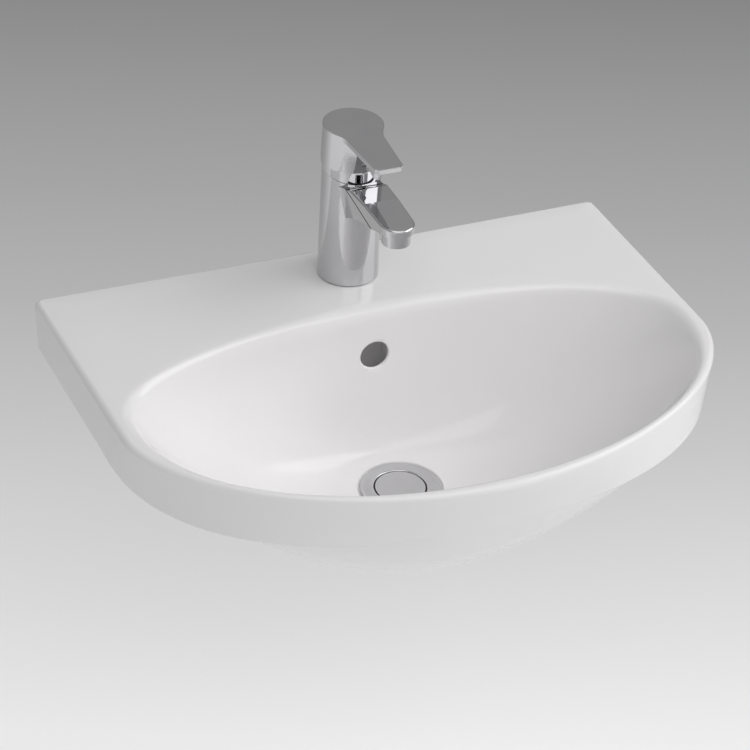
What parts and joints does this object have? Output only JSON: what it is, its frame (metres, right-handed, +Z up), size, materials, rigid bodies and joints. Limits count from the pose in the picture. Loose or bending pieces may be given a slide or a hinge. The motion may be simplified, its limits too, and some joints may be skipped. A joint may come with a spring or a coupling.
{
  "type": "semi recessed basin with mixer tap",
  "caption": "White ceramic semi recessed basin with a chromed single lever mixer, an overflow and a click waste.",
  "frame": {"origin": "middle of the basin's back edge, in the plane of the worktop that the basin stands on", "axes": "+X to the right as the user sees it, -Y towards the user, +Z up"},
  "size_m": [0.4994, 0.347, 0.3345],
  "materials": {
    "glazed_ceramic": "white glaze, glossy",
    "disc_ceramic": "lapped",
    "chrome": "polished chrome plating on brass",
    "brass": "machined",
    "spring_steel": "bright",
    "rubber": "matte black",
    "white_plastic": "moulded",
    "grey_plastic": "moulded"
  },
  "bodies": {
    "basin_and_fixed": {"basin": "glazed_ceramic", "waste_body": "chrome", "flange_gasket": "rubber", "lower_gasket": "rubber", "slip_washer": "white_plastic", "waste_backnut": "brass", "click_housing": "brass", "click_spring": "spring_steel", "tap_body": "chrome", "base_gasket": "rubber", "fixing_stud": "spring_steel", "fixing_gasket": "rubber", "fixing_washer": "spring_steel", "fixing_nut": "brass", "aerator_housing": "chrome", "aerator_insert": "white_plastic", "aerator_seal": "rubber", "cartridge_housing": "white_plastic", "cartridge_base": "white_plastic", "base_seals": "rubber", "fixed_disc": "disc_ceramic", "cartridge_nut": "brass", "cover_ring": "chrome"},
    "sleeve": {"turning_sleeve": "white_plastic", "pivot_pin": "spring_steel"},
    "lever": {"lever_handle": "chrome", "cartridge_spindle": "brass", "grub_screw": "spring_steel", "indicator_plug": "grey_plastic"},
    "discs": {"disc_carrier": "white_plastic", "moving_disc": "disc_ceramic"},
    "plug": {"waste_plug": "chrome", "plug_seal": "rubber", "click_stem": "brass"}
  },
  "joints": [
    {"name": "lever_swivel", "type": "hinge", "parent": "basin_and_fixed", "child": "sleeve", "pos_m": [0, -0.0424, 0.127], "axis": [0, -0.2419, 0.9703], "range_deg": [-45, 45]},
    {"name": "lever_lift", "type": "hinge", "parent": "sleeve", "child": "lever", "pos_m": [0, -0.04458, 0.13573], "axis": [-1, 0, 0], "range_deg": [0, 24]},
    {"name": "disc_slide", "type": "slide", "parent": "sleeve", "child": "discs", "axis": [0, -0.9703, -0.2419], "range_m": [0, 0.00607]},
    {"name": "plug_slide", "type": "slide", "parent": "basin_and_fixed", "child": "plug", "axis": [0, 0, 1], "range_m": [0, 0.008], "deforming": ["click_spring"]}
  ],
  "couplings": [
    {"joint": "disc_slide", "follows": "lever_lift", "m_per_rad": 0.01449}
  ]
}
